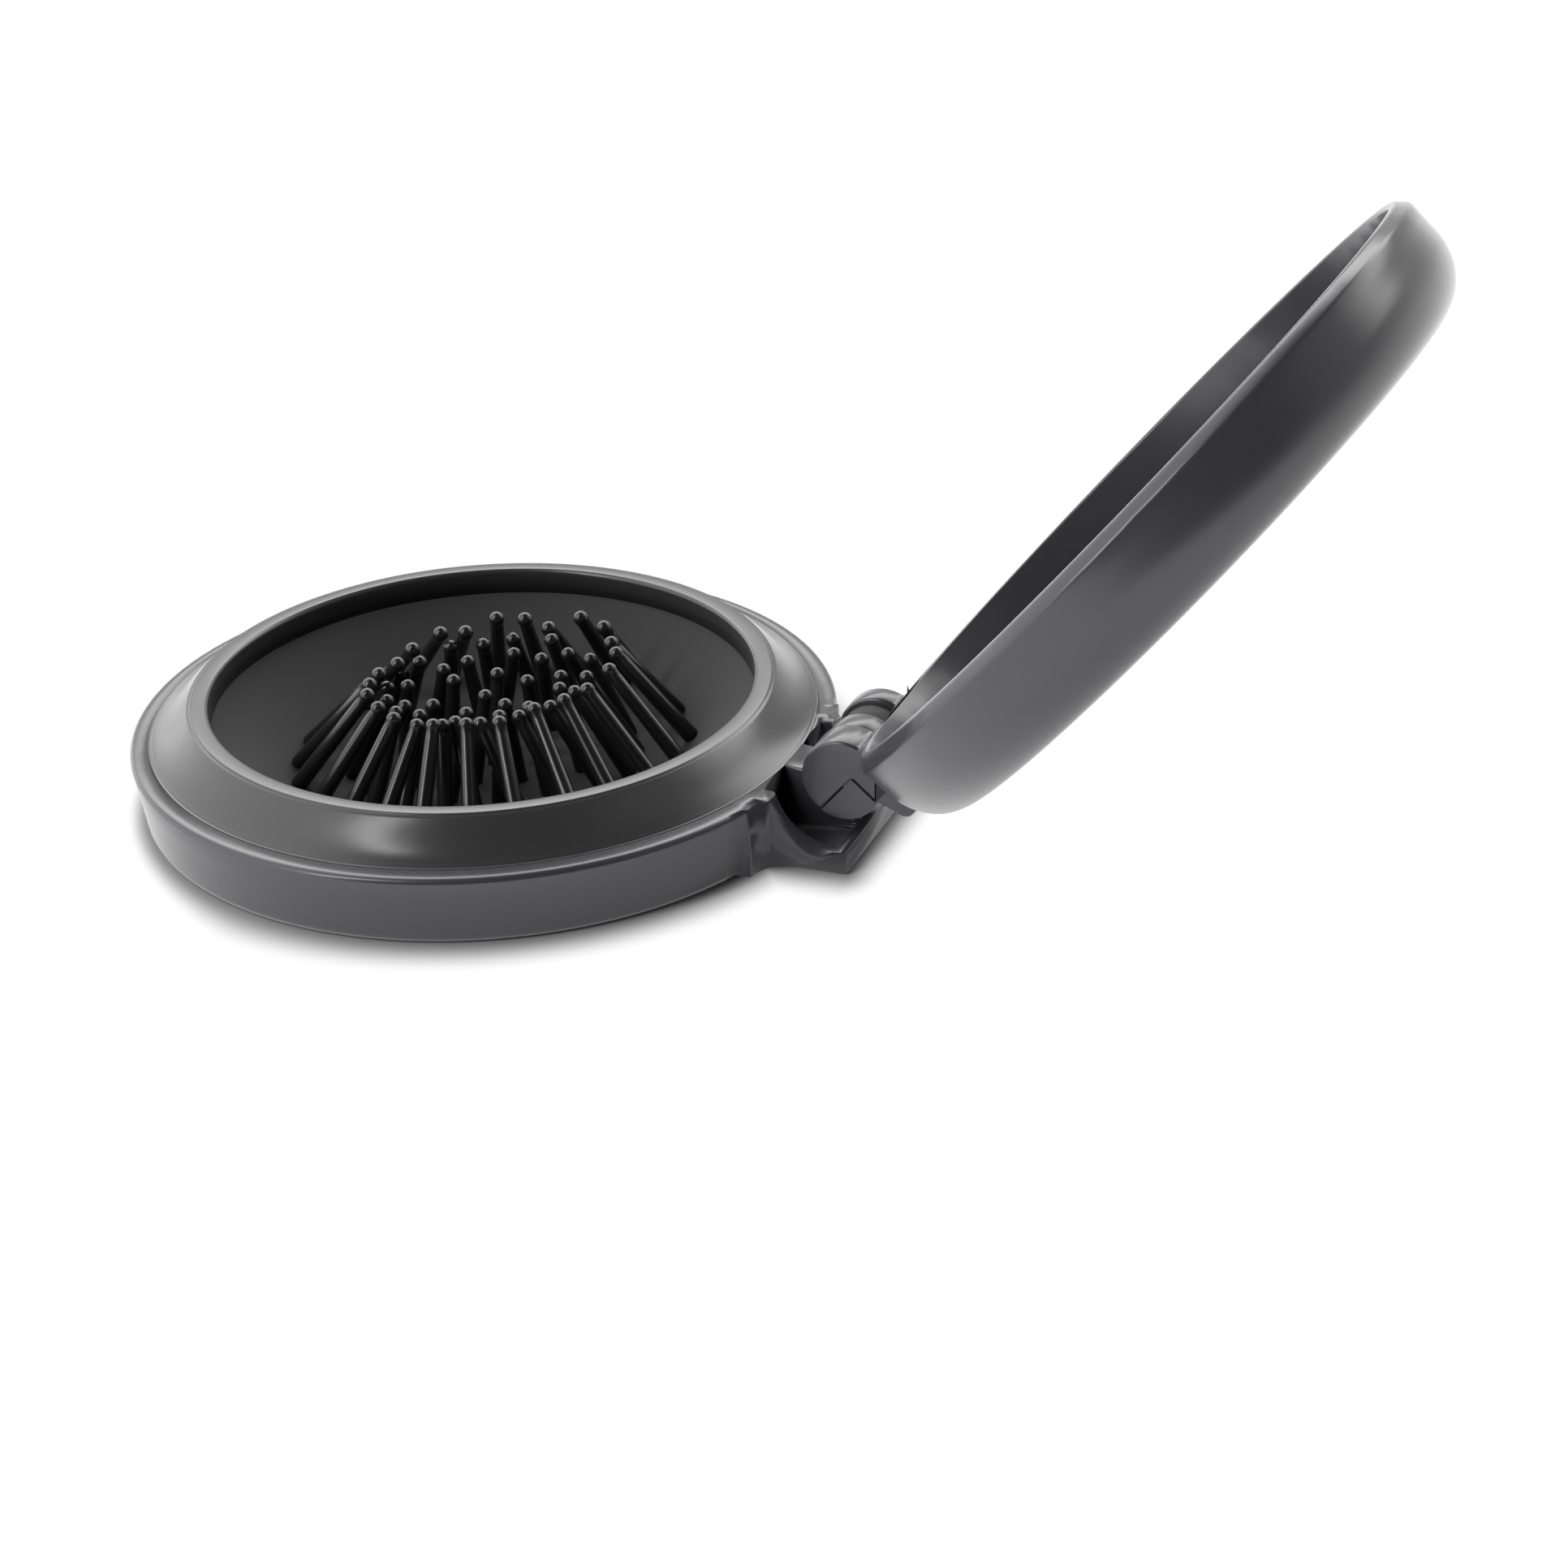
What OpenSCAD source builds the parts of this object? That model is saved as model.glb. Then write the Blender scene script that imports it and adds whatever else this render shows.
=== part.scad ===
// Folding pocket hairbrush with a mirror in its lid.
// The round base holds a rubber diaphragm whose pins stow leaning inwards. Pushing the plate
// under it lifts the pad before it pops up and fans the pins. The lid turns on a rear hinge.
// Origin: on the resting plane, straight below the middle of the hinge axis. +Z is up, the
// hinge axis runs along Y, and the base lies towards -X. The lid is drawn open.

/* [Case] */
// Outer diameter of base and lid
case_d = 66; // [64:1:72]
// Thickness of the closed case
closed_h = 16.9; // [16.6:0.1:17.2]
// Height of the ledge that the lid closes on
ledge_h = 6.9; // [6.9:0.1:7.2]
// Width of the ledge round the bezel
ledge_w = 1.9; // [1.8:0.1:2.1]
// Narrowing of the base wall from the ledge to the foot
base_draft = 0.8; // [0.3:0.1:1.2]
// Thickness of the base floor
floor_t = 1.6; // [1.4:0.1:1.8]
// Diameter of the thumb hole in the base floor
thumb_hole_d = 43.4; // [43:0.2:44]

/* [Bezel] */
// Height of the bezel rim above the resting plane
rim_h = 10.15; // [9.9:0.05:10.4]
// Outer diameter of the flat on the rim
rim_flat_d = 54.4; // [54:0.2:56]
// Diameter of the mouth inside the rim
mouth_d = 50.8; // [50.4:0.2:51.2]

/* [Hinge] */
// Distance from the middle of the base to the hinge axis
hinge_out = 38; // [38:0.1:39]
// Height of the hinge axis
hinge_z = 8; // [7.9:0.05:8.1]
// Diameter of the hinge knuckles
knuckle_d = 7.6; // [7:0.1:7.8]
// Length of the hinge barrel
barrel_l = 11.7; // [11.4:0.1:12]
// Diameter of the steel hinge pin
pin_d = 2; // [1.6:0.1:2.4]
// How far the lid stands open
open_angle = 131.5; // [0:0.5:178]

/* [Brush] */
// Height of the pad's flat middle when stowed
pad_z = 1.6; // [1.5:0.1:1.8]
// Height of the pin tips when stowed
tips_z = 11.2; // [10.6:0.1:11.3]
// Radius of the outer ring of pins at the pad
outer_ring_r = 18.4; // [18:0.1:18.6]
// Diameter of a pin at its root
pin_root_d = 1.6; // [1.4:0.1:1.7]
// Diameter of a pin under its ball
pin_neck_d = 1.25; // [1:0.05:1.3]
// Diameter of the ball on a pin
ball_d = 1.45; // [1.35:0.05:1.5]

/* [Lid] */
// Height of the chamfer under the lid's sharp edge
edge_h = 1; // [0.8:0.1:1.2]
// Radius of the mirror that shows
mirror_r = 26.6; // [26:0.1:27]
// Thickness of the mirror glass
glass_t = 0.9; // [0.8:0.1:1]

/* [Hidden] */
$fn = 96;
eps = 0.01;
case_r = case_d / 2;
knuckle_r = knuckle_d / 2;
barrel_half = barrel_l / 2;
pin_r = pin_d / 2;
running_gap = 0.06;
part_gap = 0.3;

// Base shell
ledge_r = case_r - ledge_w;
foot_r = case_r - base_draft;
foot_round = 0.8;
ledge_round = 0.5;
thumb_hole_r = thumb_hole_d / 2;

// Hinge block, measured from the hinge axis
block_half = 8.3;
cheek_t = 1.2;
block_end = 1.15;
end_wall_t = 1.2;
cradle_r = 5.9;
sill_z = 2.6;
block_floor = 1.5;
well_in = -7;
web_half = 2.36;
block_fillet = 3;
near_split = -1.95;
base_knuckle_end = 0.9;
far_split = 3.4;

// Lid, in the closed position
rim_gap = 0.1;
lid_rim_z = ledge_h + rim_gap;
lid_edge_z = lid_rim_z + edge_h;
lid_side_z = lid_edge_z + 2.8;
lid_lean = 0.2;
lid_corner = 4.6;
lid_crown = 0.6;
lid_wall = 1.6;
lid_ceiling_z = closed_h - lid_wall;
lug_in = 1;
lug_low = -0.8;
lug_top = 6.6;
lug_face = 0.9;
lug_face_end = 1.7;

// Mirror stack, in the closed position
frame_t = 1.2;
foam_t = 0.4;
glass_z = lid_ceiling_z - foam_t - glass_t;
frame_z = glass_z - frame_t;
frame_r = ledge_r - 0.4;
frame_lean = 0.65;
glass_r = 28.4;
foam_r = 26;

// Bezel and clamp under it
mouth_r = mouth_d / 2;
bezel_r = ledge_r - 0.1;
bezel_wall = 1.6;
bead_top = 7.7;
bead_low = 6.4;
bead_r = 29;
clamp_wall = 1.5;
clamp_in = 25.8;

// Rubber diaphragm
rubber_t = 0.7;
slope = 38;
bend_end_r = outer_ring_r + 0.6;
bend_end_z = bead_top - (mouth_r - bend_end_r) * tan(slope);
bend_r = (bend_end_z - pad_z) / (1 - cos(slope));
bend_start_r = bend_end_r - bend_r * sin(slope);
bend_steps = 6;

// Push plate and pins
plate_t = 0.6;
plate_z = pad_z - rubber_t - plate_t;
plate_r = 20.6;
pin_sides = 24;
hole_gap = 0.1;
hole_r = pin_root_d / 2 + 0.3;
root_z = plate_z + plate_t + pin_root_d / 2 + 0.3;
inner_ring_r = 4.4;
second_ring_r = 8.7;
third_ring_r = 13.3;
pad_shift = 0.7;
third_sector_pins = 4;
outer_sector_pins = 3;

// Pins, each leaning its own way out of the inverted pad: the angle of the root about the
// pad's middle, the tip's x and y from the base's middle, and how far it is below tips_z
centre_pins = [
    [0, 0.79, 1.72, 1.2]];
inner_pins = [
    [39, 4.19, 1.11, 1.2], [123, -3.09, 3.4, 1.2], [190, -2.53, -0.78, 1.2],
    [267, 1.78, -2.93, 1.2], [327, 4.38, -4.14, 1.2]];
second_pins = [
    [8, 7.79, 0.5, 1.2], [40, 6.8, 2.89, 1.2], [78, 3.42, 5.9, 1.2], [112, 0.39, 6.23, 1.2],
    [157, -4.5, 1.1, 1.2], [193, -6.18, -3.03, 1.2], [230, -2.02, -6.12, 1.2],
    [265, 1.71, -6.81, 1.2], [298, 4.93, -6.51, 1.2], [331, 6.74, -4.02, 1.2]];
third_pins = [
    [5, 9.43, 0.24, 1.2], [24, 9.16, 3.5, 1.2], [43, 7.91, 7.13, 1.2], [61, 5.35, 7.67, 1.2],
    [79, 3.17, 8.81, 0.52], [98, -1.12, 9.27, 1.2], [116, -3.33, 7.31, 1.2],
    [134, -6.14, 5.97, 1.2], [156, -7.04, 1.27, 0.8], [173, -8.81, 0.79, 2.1],
    [191, -8.33, -3.01, 1.65], [209, -6.6, -6.48, 1.2], [225, -4.67, -6.69, 1.41],
    [239, -4.67, -8.46, 1.2], [256, -2.23, -8.46, 1.2], [276, 1, -10.26, 0.9],
    [289, 1.58, -8.79, 1.2], [307, 3.89, -8.35, 1.2], [326, 6.68, -5.99, 1.2],
    [346, 8.59, -3.3, 1.2]];
outer_pins = [
    [7, 11.66, 3.28, 0], [26, 10.8, 6.77, 0], [44, 9.41, 8.77, 0], [59, 7.28, 11.82, 0],
    [73, 4.23, 13.24, 0], [87, 2.26, 10.19, 0], [101, -0.82, 11.42, 0], [114, -3.52, 10.82, 0],
    [129, -5.01, 7.11, 0], [144, -7.21, 6.2, 0], [158, -8.16, 2.17, 0], [173, -8.06, -1.15, 0],
    [187, -8.7, -3.71, 0], [201, -8.5, -6, 0], [215, -7.7, -8.08, 0], [232, -5.46, -10.29, 0],
    [247, -3.03, -11.92, 0], [261, -0.72, -11.92, 0.35], [274, 1.07, -12.14, 0],
    [289, 3.88, -11.07, 0], [303, 6.63, -9.85, 0], [320, 8.51, -6.4, 0], [334, 10.35, -3.9, 0],
    [351, 11.45, -1.2, 0]];

// Points of a quarter round in a profile, from angle a to angle b about (x, y)
function arc(x, y, rx, ry, a, b, n = 8) =
    [for (i = [0 : n]) let (t = a + (b - a) * i / n) [x + rx * cos(t), y + ry * sin(t)]];

// Moves what is drawn about the base's own middle to its place
module at_base() {
    translate([-hinge_out, 0, 0]) children();
}

// Turns what is drawn in the closed position to the open lid
module at_lid() {
    translate([0, 0, hinge_z]) rotate([0, open_angle, 0]) translate([0, 0, -hinge_z])
        children();
}

// A length of cylinder on the hinge axis
module on_axis(r, from_y, to_y) {
    translate([0, to_y, hinge_z]) rotate([90, 0, 0]) cylinder(r = r, h = to_y - from_y);
}

// ---- Base ----

module base_profile() {
    polygon(concat(
        [[thumb_hole_r, 0]],
        arc(foot_r - foot_round, foot_round, foot_round, foot_round, -90, 0, 5),
        arc(case_r - ledge_round, ledge_h - ledge_round, ledge_round, ledge_round, 0, 90, 5),
        [[ledge_r, ledge_h], [ledge_r, floor_t], [thumb_hole_r, floor_t]]));
}

// Outline of the hinge block from above, with the hollow rounds that blend it into the wall
module block_plan() {
    blend_y = block_half + block_fillet;
    blend_x = sqrt(pow(case_r + block_fillet, 2) - blend_y * blend_y) - hinge_out;
    difference() {
        union() {
            translate([well_in - 3, -block_half]) square([block_end - well_in + 3, 2 * block_half]);
            translate([well_in - 3, -blend_y])
                square([blend_x - well_in + 3, 2 * blend_y]);
        }
        for (s = [-1, 1]) translate([blend_x, s * blend_y]) circle(r = block_fillet);
    }
}

module hinge_block() {
    difference() {
        linear_extrude(ledge_h) block_plan();
        translate([-hinge_out, 0, floor_t]) cylinder(r = ledge_r, h = closed_h);
        translate([-hinge_out, 0, -1]) cylinder(r = thumb_hole_r, h = closed_h);
        on_axis(cradle_r, -2 * block_half, 2 * block_half);
        translate([0, -2 * block_half, sill_z])
            cube([2 * block_end, 4 * block_half, closed_h]);
        for (s = [-1, 1])
            translate([well_in, s > 0 ? web_half : cheek_t - block_half, block_floor])
                cube([block_end - end_wall_t - well_in,
                      block_half - cheek_t - web_half, closed_h]);
    }
}

// Web that carries the base's own knuckle between the two wells
module base_knuckle() {
    on_axis(knuckle_r, near_split + running_gap, base_knuckle_end);
    translate([well_in + 0.5, near_split + running_gap, block_floor - 0.5])
        cube([-well_in - 0.5, base_knuckle_end - near_split - running_gap,
              ledge_h - block_floor + 0.5]);
    translate([well_in + 0.3, -web_half, block_floor - 0.5])
        cube([2.2, 2 * web_half, ledge_h - block_floor + 0.5]);
    translate([well_in + 0.5, -web_half, block_floor - 0.5])
        cube([-well_in - 0.5, 2 * web_half, hinge_z - cradle_r - block_floor + 0.5]);
}

module base_shell() {
    color([0.16, 0.16, 0.17]) difference() {
        union() {
            difference() {
                at_base() rotate_extrude($fn = 128) base_profile();
                for (s = [-1, 1])
                    translate([well_in, s > 0 ? web_half : cheek_t - block_half, block_floor])
                        cube([-well_in, block_half - cheek_t - web_half, closed_h]);
                on_axis(cradle_r, web_half, block_half - cheek_t);
                on_axis(cradle_r, cheek_t - block_half, -web_half);
            }
            hinge_block();
            base_knuckle();
        }
        on_axis(pin_r + running_gap, -block_half / 2, block_half / 2);
    }
}

// Bezel: outer skirt in the shell, hollow-footed slope, flat rim and short inner wall
module bezel_ring() {
    rim_r = rim_flat_d / 2;
    run = bezel_r - rim_r;
    rise = rim_h - ledge_h;
    color([0.15, 0.15, 0.16]) at_base() rotate_extrude($fn = 128) polygon(concat(
        [[bezel_r, floor_t], [bezel_r, ledge_h]],
        [for (i = [1 : 7]) let (t = i / 8)
            [bezel_r - run * t, ledge_h + rise * (t - 0.13 * sin(180 * t) * (1 - t))]],
        [[rim_r + 0.12, rim_h - 0.08], [rim_r - 0.1, rim_h]],
        arc(mouth_r + 0.45, rim_h - 0.45, -0.45, 0.45, 90, 0, 4),
        [[mouth_r, bead_top], [bezel_r - bezel_wall - 0.3, bead_top],
         [bezel_r - bezel_wall, bead_top - 0.5], [bezel_r - bezel_wall, floor_t]]));
}

// Ring under the bezel that clamps the bead of the diaphragm
module clamp_ring() {
    out_r = bezel_r - bezel_wall - 0.15;
    color([0.25, 0.25, 0.27]) at_base() rotate_extrude($fn = 96) polygon([
        [out_r, floor_t], [out_r, bead_low], [clamp_in, bead_low], [clamp_in, bead_low - 0.7],
        [out_r - clamp_wall, bead_low - 1.6], [out_r - clamp_wall, floor_t]]);
}

// ---- Pad and pins ----

// Upper face of the diaphragm from its middle to the mouth
function pad_line() = concat(
    [[0, pad_z]],
    arc(bend_start_r, pad_z + bend_r, bend_r, bend_r, -90, slope - 90, bend_steps),
    [[mouth_r, bead_top]]);

module pad_profile() {
    below = rubber_t / cos(slope);
    polygon(concat(
        pad_line(),
        [[bead_r, bead_top], [bead_r, bead_low], [mouth_r + 0.1, bead_low + 0.05],
         [bend_end_r, bend_end_z - below], [bend_start_r + 0.6, pad_z - rubber_t],
         [0, pad_z - rubber_t]]));
}

// Where the root of a pin is, p being its row above
function root_of(ring_r, p) = [pad_shift + ring_r * cos(p[0]), ring_r * sin(p[0])];

// Height of the pad's upper face where it bends up, at a distance from the middle
function bend_height(r) = r < bend_end_r
    ? pad_z + bend_r - sqrt(pow(bend_r, 2) - pow(r - bend_start_r, 2))
    : bead_top - (mouth_r - r) * tan(slope);

// One pin of a ring from its root to its ball. A root in the rubber is round, and a flat one
// stands on the plate, raised by what its lean dips.
module pin(ring_r, low_z, p, grow = 0) {
    root = root_of(ring_r, p);
    tip_z = tips_z - p[3];
    in_rubber = low_z >= root_z;
    dip = pin_root_d / 2 * norm([p[1], p[2]] - root) / (tip_z - low_z);
    foot_z = low_z + (in_rubber ? 0 : dip);
    way = [p[1] - root[0], p[2] - root[1], tip_z - foot_z];
    len = norm(way);
    translate([root[0], root[1], foot_z])
        rotate([0, acos(way[2] / len), atan2(way[1], way[0])]) {
            cylinder(r1 = pin_root_d / 2 + grow, r2 = pin_neck_d / 2 + grow, h = len,
                     $fn = pin_sides);
            if (in_rubber) sphere(r = pin_root_d / 2 + grow, $fn = pin_sides);
            translate([0, 0, len]) sphere(d = ball_d + 2 * grow, $fn = pin_sides);
        }
}

module upright_pins(ring_r, rows) {
    for (p = rows) pin(ring_r, plate_z + plate_t, p);
}

// Holes in the rubber for the pins that stand on the plate
module holes(ring_r, rows) {
    for (p = rows) {
        root = root_of(ring_r, p);
        share = rubber_t / 2 / (tips_z - p[3] - plate_z - plate_t);
        middle = root + share * ([p[1], p[2]] - root);
        translate([middle[0], middle[1], pad_z - rubber_t - 0.1])
            cylinder(r = hole_r, h = rubber_t + 0.2, $fn = pin_sides);
    }
}

module third_row(rows, grow = 0) {
    for (p = rows) pin(third_ring_r, root_z, p, grow);
}

module outer_row(rows, grow = 0) {
    for (p = rows)
        pin(outer_ring_r, bend_height(norm(root_of(outer_ring_r, p))) + 0.4, p, grow);
}

// The rows of one sector of a ring, n in each sector
function sector_of(rows, sector, n) = [for (k = [(sector - 1) * n : sector * n - 1]) rows[k]];

module rubber_diaphragm() {
    color([0.12, 0.12, 0.13]) at_base() difference() {
        rotate_extrude($fn = 96) pad_profile();
        holes(0, centre_pins);
        holes(inner_ring_r, inner_pins);
        holes(second_ring_r, second_pins);
        third_row(third_pins, hole_gap);
        outer_row(outer_pins, hole_gap);
    }
}

// Plate under the pad: the thumb pushes its lower face, and it carries the pins
module push_plate() {
    color([0.2, 0.2, 0.21]) at_base() translate([0, 0, plate_z])
        cylinder(r = plate_r, h = plate_t);
}

module centre_pin() {
    color([0.1, 0.1, 0.1]) at_base() upright_pins(0, centre_pins);
}

module inner_ring_pins() {
    color([0.1, 0.1, 0.1]) at_base() upright_pins(inner_ring_r, inner_pins);
}

module second_ring_pins() {
    color([0.1, 0.1, 0.1]) at_base() upright_pins(second_ring_r, second_pins);
}

module third_ring_pins(sector) {
    color([0.1, 0.1, 0.1]) at_base()
        third_row(sector_of(third_pins, sector, third_sector_pins));
}

module outer_ring_pins(sector) {
    color([0.1, 0.1, 0.1]) at_base()
        outer_row(sector_of(outer_pins, sector, outer_sector_pins));
}

// ---- Hinge ----

module hinge_pin() {
    color([0.7, 0.7, 0.72]) on_axis(pin_r, 0.8 - barrel_half, barrel_half - 0.8);
}

module spacer_ring() {
    color([0.08, 0.08, 0.08]) difference() {
        on_axis(knuckle_r - 0.5, base_knuckle_end + 0.15, far_split - 0.15);
        on_axis(pin_r + running_gap, 0, far_split);
    }
}

// ---- Lid, drawn closed and turned open ----

module lid_profile() {
    side_r = case_r - lid_lean;
    flat_r = side_r - lid_corner;
    top_z = closed_h - lid_crown;
    in_r = ledge_r + 0.2;
    polygon(concat(
        [[in_r, lid_rim_z], [case_r - 0.9, lid_rim_z], [case_r, lid_edge_z]],
        arc(flat_r, lid_side_z, lid_corner, top_z - lid_side_z, 0, 90, 12),
        [for (i = [1 : 6]) let (t = i / 6)
            [flat_r * (1 - t), top_z + lid_crown * (1 - (1 - t) * (1 - t))]],
        [[0, lid_ceiling_z]],
        arc(flat_r, lid_side_z, in_r - flat_r, lid_ceiling_z - lid_side_z, 90, 0, 8)));
}

// Lug from the lid's wall to its knuckle, from one split to the other along the axis
module lug(from_y, to_y) {
    on_axis(knuckle_r, from_y, to_y);
    translate([0, to_y, hinge_z]) rotate([90, 0, 0]) linear_extrude(to_y - from_y)
        polygon([[case_r - hinge_out - lug_in, lug_low], [-knuckle_r + 0.5, lug_low],
                 [-lug_face, knuckle_r - 0.5], [-lug_face_end, lug_top - 0.4],
                 [-lug_face_end - 0.5, lug_top], [case_r - hinge_out - lug_in - 0.3, lug_top]]);
}

// Quarter of a knuckle, outwards of the lug and above the axis, that caps the pin's slot
module quarter(r, from_y, to_y, seam) {
    intersection() {
        on_axis(r, from_y, to_y);
        translate([seam - lug_face, from_y, hinge_z + 0.5 + seam])
            cube([2 * r, to_y - from_y, 2 * r]);
    }
}

module lid_shell() {
    pocket_l = 1.2;
    color([0.14, 0.14, 0.15]) at_lid() difference() {
        union() {
            difference() {
                at_base() rotate_extrude($fn = 128) lid_profile();
                on_axis(knuckle_r + part_gap, near_split, far_split);
            }
            lug(-barrel_half, near_split);
            lug(far_split, barrel_half);
        }
        quarter(knuckle_r + 1, -barrel_half - eps, pocket_l - barrel_half, 0);
        quarter(knuckle_r + 1, barrel_half - pocket_l, barrel_half + eps, 0);
        on_axis(pin_r, 0.8 - barrel_half, barrel_half - 0.8);
    }
}

module knuckle_caps() {
    seam = 0.07;
    cap_l = 1.2;
    color([0.17, 0.17, 0.18]) at_lid() difference() {
        union() {
            quarter(knuckle_r, -barrel_half, cap_l - seam - barrel_half, seam);
            quarter(knuckle_r, barrel_half - cap_l + seam, barrel_half, seam);
        }
        on_axis(pin_r + running_gap, 0.8 - barrel_half, barrel_half - 0.8);
    }
}

module mirror_frame() {
    color([0.13, 0.13, 0.14]) at_lid() at_base() rotate_extrude($fn = 96) polygon([
        [mirror_r, frame_z + 0.3], [mirror_r + 0.3, frame_z], [frame_r, frame_z],
        [frame_r - frame_lean, glass_z], [mirror_r, glass_z]]);
}

module mirror_glass() {
    color([0.8, 0.84, 0.86]) at_lid() at_base() translate([0, 0, glass_z])
        cylinder(r = glass_r, h = glass_t);
}

module mirror_foam() {
    color([0.85, 0.85, 0.8]) at_lid() at_base() translate([0, 0, glass_z + glass_t])
        cylinder(r = foam_r, h = foam_t);
}

base_shell();
bezel_ring();
clamp_ring();
rubber_diaphragm();
push_plate();
centre_pin();
inner_ring_pins();
second_ring_pins();
for (i = [1 : len(third_pins) / third_sector_pins])
    third_ring_pins(i);
for (i = [1 : len(outer_pins) / outer_sector_pins])
    outer_ring_pins(i);
hinge_pin();
spacer_ring();
lid_shell();
knuckle_caps();
mirror_frame();
mirror_glass();
mirror_foam();
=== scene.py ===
"""Looks of a folding pocket hairbrush with a mirror in its lid.

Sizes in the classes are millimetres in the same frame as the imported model: the
origin is on the resting plane, straight below the middle of the hinge axis, the
hinge axis runs along Y, and the base lies towards -X. Mesh code turns them into
metres.
"""

import logging
import math
from dataclasses import dataclass, field
from enum import Enum
from typing import Callable, Iterable, Sequence, Union

import bmesh
import bpy
from mathutils import Matrix, Vector, noise


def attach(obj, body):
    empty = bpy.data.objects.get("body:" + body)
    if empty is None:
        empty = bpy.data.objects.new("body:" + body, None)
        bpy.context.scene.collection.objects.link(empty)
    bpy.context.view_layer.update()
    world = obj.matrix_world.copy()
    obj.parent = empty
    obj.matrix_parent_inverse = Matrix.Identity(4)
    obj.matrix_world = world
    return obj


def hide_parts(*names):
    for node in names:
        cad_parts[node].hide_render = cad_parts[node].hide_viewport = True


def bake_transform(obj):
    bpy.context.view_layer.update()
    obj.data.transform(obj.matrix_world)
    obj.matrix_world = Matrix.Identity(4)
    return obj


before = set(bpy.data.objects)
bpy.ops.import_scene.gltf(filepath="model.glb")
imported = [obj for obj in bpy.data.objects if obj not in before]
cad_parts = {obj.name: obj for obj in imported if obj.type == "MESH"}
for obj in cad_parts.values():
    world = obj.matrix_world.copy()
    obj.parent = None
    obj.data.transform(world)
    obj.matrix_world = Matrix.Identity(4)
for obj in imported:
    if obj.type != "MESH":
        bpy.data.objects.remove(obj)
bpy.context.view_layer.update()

LOG = logging.getLogger("hairbrush")
MM = 0.001
HINGE_OUT = 38.0

Point = Sequence[float]
Profile = Sequence[tuple[float, float]]
Value = Union["Sock", float, int]
PinRow = tuple[float, float, float, float]

# Pins of each ring: the angle of the root about the pad's middle, the tip's x and y
# from the base's middle, and how far the tip is below the highest tips
CENTRE_PINS: list[PinRow] = [(0, 0.79, 1.72, 1.2)]
INNER_PINS: list[PinRow] = [
    (39, 4.19, 1.11, 1.2), (123, -3.09, 3.4, 1.2), (190, -2.53, -0.78, 1.2),
    (267, 1.78, -2.93, 1.2), (327, 4.38, -4.14, 1.2),
]
SECOND_PINS: list[PinRow] = [
    (8, 7.79, 0.5, 1.2), (40, 6.8, 2.89, 1.2), (78, 3.42, 5.9, 1.2),
    (112, 0.39, 6.23, 1.2), (157, -4.5, 1.1, 1.2), (193, -6.18, -3.03, 1.2),
    (230, -2.02, -6.12, 1.2), (265, 1.71, -6.81, 1.2), (298, 4.93, -6.51, 1.2),
    (331, 6.74, -4.02, 1.2),
]
THIRD_PINS: list[PinRow] = [
    (5, 9.43, 0.24, 1.2), (24, 9.16, 3.5, 1.2), (43, 7.91, 7.13, 1.2),
    (61, 5.35, 7.67, 1.2), (79, 3.17, 8.81, 0.52), (98, -1.12, 9.27, 1.2),
    (116, -3.33, 7.31, 1.2), (134, -6.14, 5.97, 1.2), (156, -7.04, 1.27, 0.8),
    (173, -8.81, 0.79, 2.1), (191, -8.33, -3.01, 1.65), (209, -6.6, -6.48, 1.2),
    (225, -4.67, -6.69, 1.41), (239, -4.67, -8.46, 1.2), (256, -2.23, -8.46, 1.2),
    (276, 1, -10.26, 0.9), (289, 1.58, -8.79, 1.2), (307, 3.89, -8.35, 1.2),
    (326, 6.68, -5.99, 1.2), (346, 8.59, -3.3, 1.2),
]
OUTER_PINS: list[PinRow] = [
    (7, 11.66, 3.28, 0), (26, 10.8, 6.77, 0), (44, 9.41, 8.77, 0), (59, 7.28, 11.82, 0),
    (73, 4.23, 13.24, 0), (87, 2.26, 10.19, 0), (101, -0.82, 11.42, 0),
    (114, -3.52, 10.82, 0), (129, -5.01, 7.11, 0), (144, -7.21, 6.2, 0),
    (158, -8.16, 2.17, 0), (173, -8.06, -1.15, 0), (187, -8.7, -3.71, 0),
    (201, -8.5, -6, 0), (215, -7.7, -8.08, 0), (232, -5.46, -10.29, 0),
    (247, -3.03, -11.92, 0), (261, -0.72, -11.92, 0.35), (274, 1.07, -12.14, 0),
    (289, 3.88, -11.07, 0), (303, 6.63, -9.85, 0), (320, 8.51, -6.4, 0),
    (334, 10.35, -3.9, 0), (351, 11.45, -1.2, 0),
]


class Body(Enum):
    """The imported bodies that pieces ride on."""

    BASE = "base"
    LID = "lid"
    PAD = "pad"


class Slot(Enum):
    """The record's material slots."""

    CASE = "case_plastic"
    BEZEL = "bezel_plastic"
    INNER = "inner_plastic"
    SPACER = "spacer_plastic"
    RUBBER = "pad_rubber"
    PIN = "pin_plastic"
    STEEL = "pin_steel"
    MIRROR = "mirror_glass"
    FOAM = "foam"


# ---- Shader maths ----


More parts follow.
